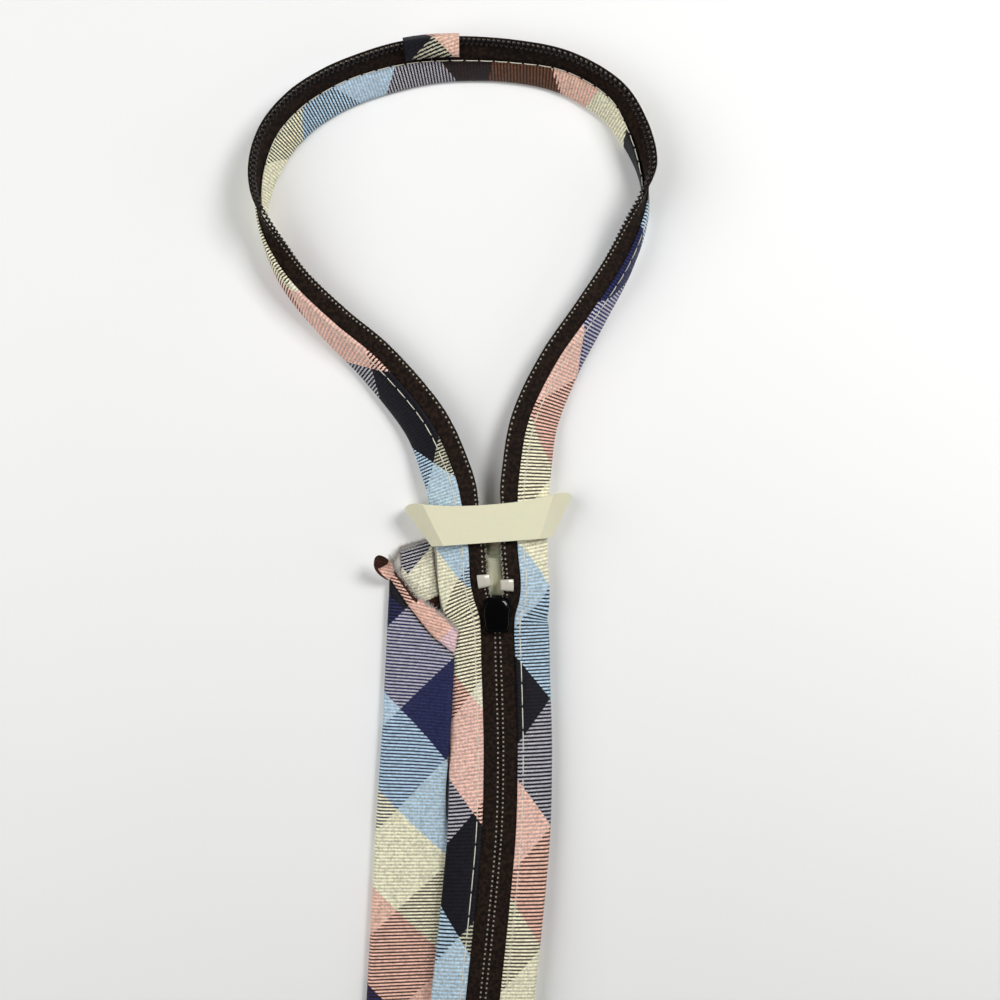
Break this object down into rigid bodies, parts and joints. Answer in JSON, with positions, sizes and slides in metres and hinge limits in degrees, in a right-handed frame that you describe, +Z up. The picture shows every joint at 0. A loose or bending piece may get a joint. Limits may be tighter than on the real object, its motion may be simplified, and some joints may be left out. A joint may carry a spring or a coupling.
{
  "type": "zipper tie",
  "caption": "Zipper tie lying face down: neck band that is a zipper in a cloth casing, bare knot former, slider, stops, keeper and the folded blade.",
  "frame": {"origin": "on the surface that the tie lies on, where the blade's front layer rests just below the knot", "axes": "+Z up from the surface, away from the tie's face; +Y from the blade's tip to the nape; +X across the tie, to the right when it is seen from behind"},
  "size_m": [0.1189, 0.6303, 0.0158],
  "materials": {
    "check_cloth": "twill woven check in navy, black, blue, pink and cream",
    "zipper_tape": "woven polyester tape, black-brown",
    "zipper_coil": "nylon coil with a row of stitching",
    "stop_metal": "bright crimped clip",
    "slider_enamel": "gloss black enamel on die-cast zinc",
    "former_plastic": "moulded cream-white plastic",
    "core_felt": "brushed woven interlining, grey-white"
  },
  "bodies": {
    "root": {"cloth_band": "check_cloth", "tape_left": "zipper_tape", "tape_right": "zipper_tape", "coil_left": "zipper_coil", "coil_right": "zipper_coil", "stop_left": "stop_metal", "stop_right": "stop_metal", "slider": "slider_enamel", "knot_former": "former_plastic", "nape_keeper": "check_cloth", "blade": "check_cloth", "blade_core": "core_felt", "seam_strip": "check_cloth", "corner_curl": "check_cloth", "end_tab": "zipper_tape"}
  },
  "joints": []
}
